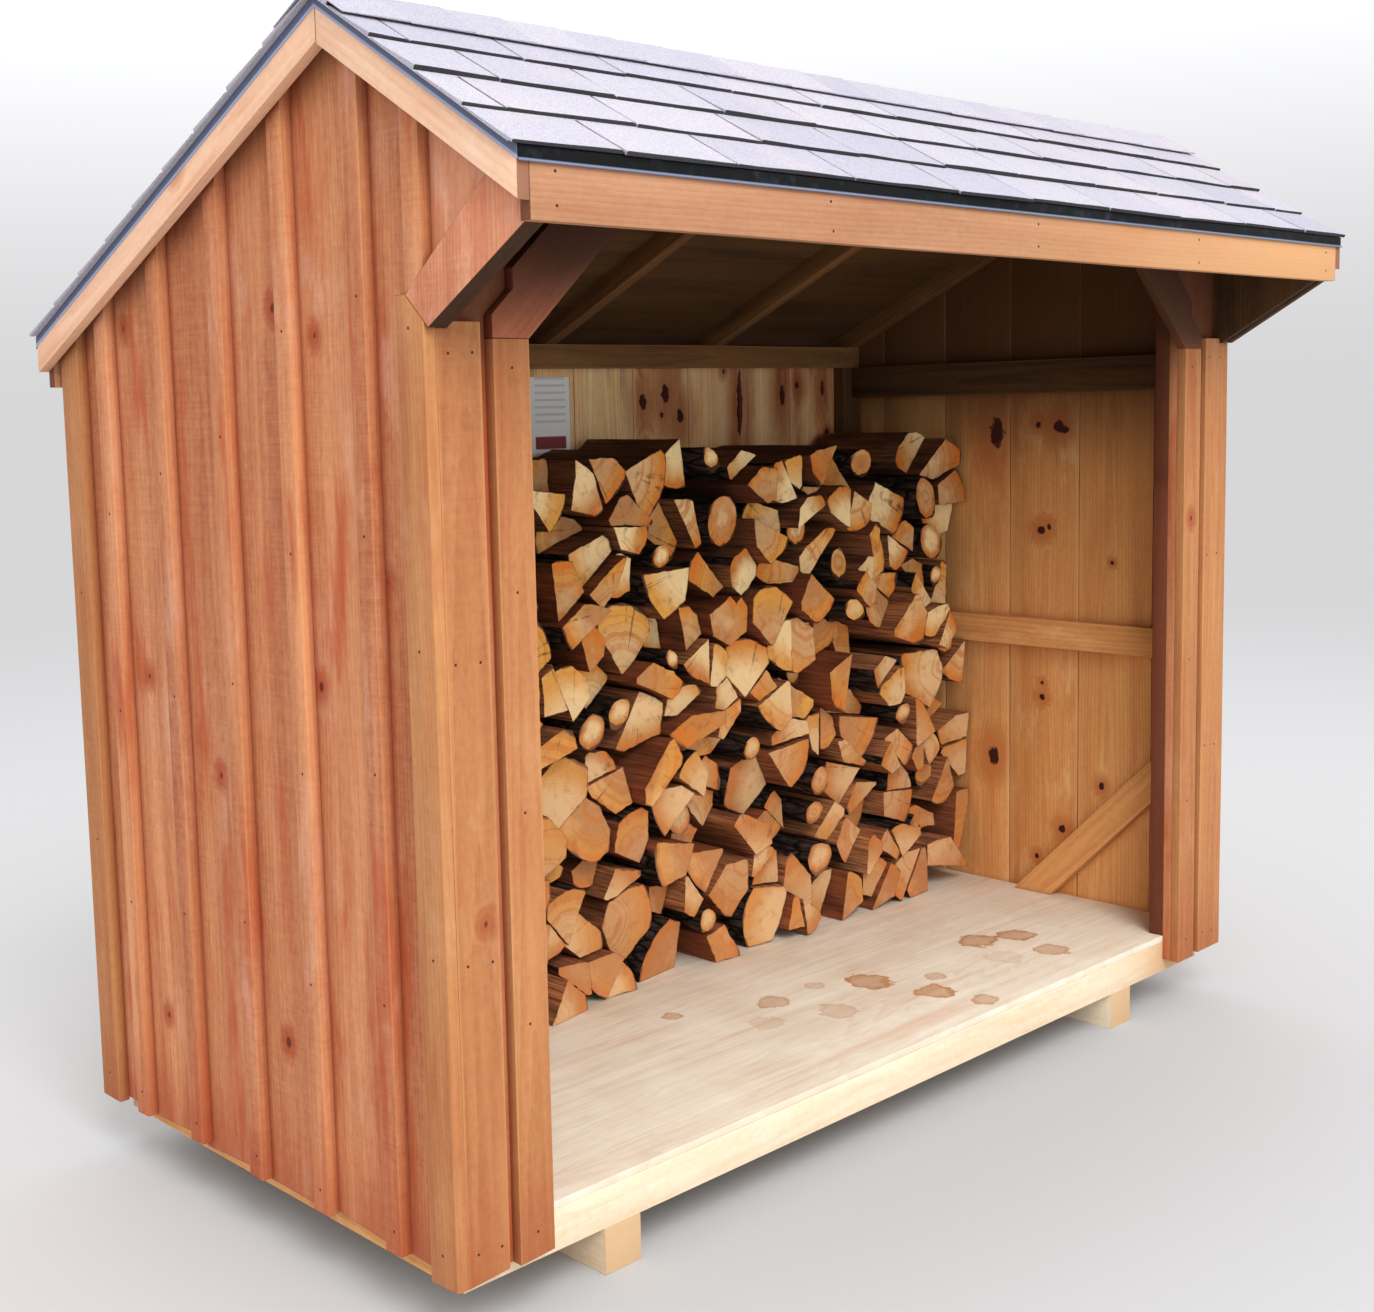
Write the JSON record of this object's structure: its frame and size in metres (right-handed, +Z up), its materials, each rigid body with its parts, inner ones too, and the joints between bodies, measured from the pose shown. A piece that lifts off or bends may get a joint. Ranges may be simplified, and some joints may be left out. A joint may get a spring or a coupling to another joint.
{
  "type": "log store",
  "caption": "Open-fronted timber log store with board-and-batten walls, an unequal gable roof in grey shingles, a plain floor on skids and a stack of split firewood.",
  "frame": {"origin": "middle of the bounding box's footprint, on the ground under the skids", "axes": "+X along the open front to the viewer's right, +Y from the open front to the back, +Z up"},
  "size_m": [2.6124, 1.5664, 2.2309],
  "materials": {
    "stained_wood": "semi-transparent red-brown stain, rough sawn",
    "bare_wood": "bare softwood, sawn",
    "edge_metal": "dull dark paint",
    "shingle": "mineral granules",
    "card": "matt",
    "split_log": "split, dry, with bark"
  },
  "bodies": {
    "root": {"skids": "bare_wood", "floor_rims": "bare_wood", "floor_joists": "bare_wood", "floor_deck": "bare_wood", "front_rafters": "bare_wood", "rear_rafters": "bare_wood", "ridge_board": "bare_wood", "front_header": "bare_wood", "header_board": "stained_wood", "front_posts": "stained_wood", "front_corner_studs": "bare_wood", "pier_siding": "stained_wood", "front_corner_boards": "stained_wood", "opening_trims": "stained_wood", "knee_braces": "stained_wood", "left_wall_siding": "stained_wood", "right_wall_siding": "stained_wood", "left_wall_battens": "stained_wood", "right_wall_battens": "stained_wood", "side_corner_trims": "stained_wood", "upper_corner_battens": "stained_wood", "side_wall_rails": "bare_wood", "side_wall_braces": "bare_wood", "rear_wall_siding": "stained_wood", "rear_wall_battens": "stained_wood", "rear_corner_boards": "stained_wood", "rear_top_plate": "bare_wood", "rear_corner_studs": "bare_wood", "rear_wall_rail": "bare_wood", "wing_boards": "stained_wood", "wing_trims": "stained_wood", "front_sheathing": "bare_wood", "rear_sheathing": "bare_wood", "front_fascia": "stained_wood", "rear_fascia": "stained_wood", "front_rake_boards": "stained_wood", "rear_rake_boards": "stained_wood", "front_drip_edge": "edge_metal", "rear_drip_edge": "edge_metal", "front_rake_drips": "edge_metal", "rear_rake_drips": "edge_metal", "front_shingles": "shingle", "rear_shingles": "shingle", "ridge_cap": "shingle", "notice_card": "card", "firewood_lower": "split_log", "firewood_middle": "split_log", "firewood_upper": "split_log"}
  },
  "joints": []
}
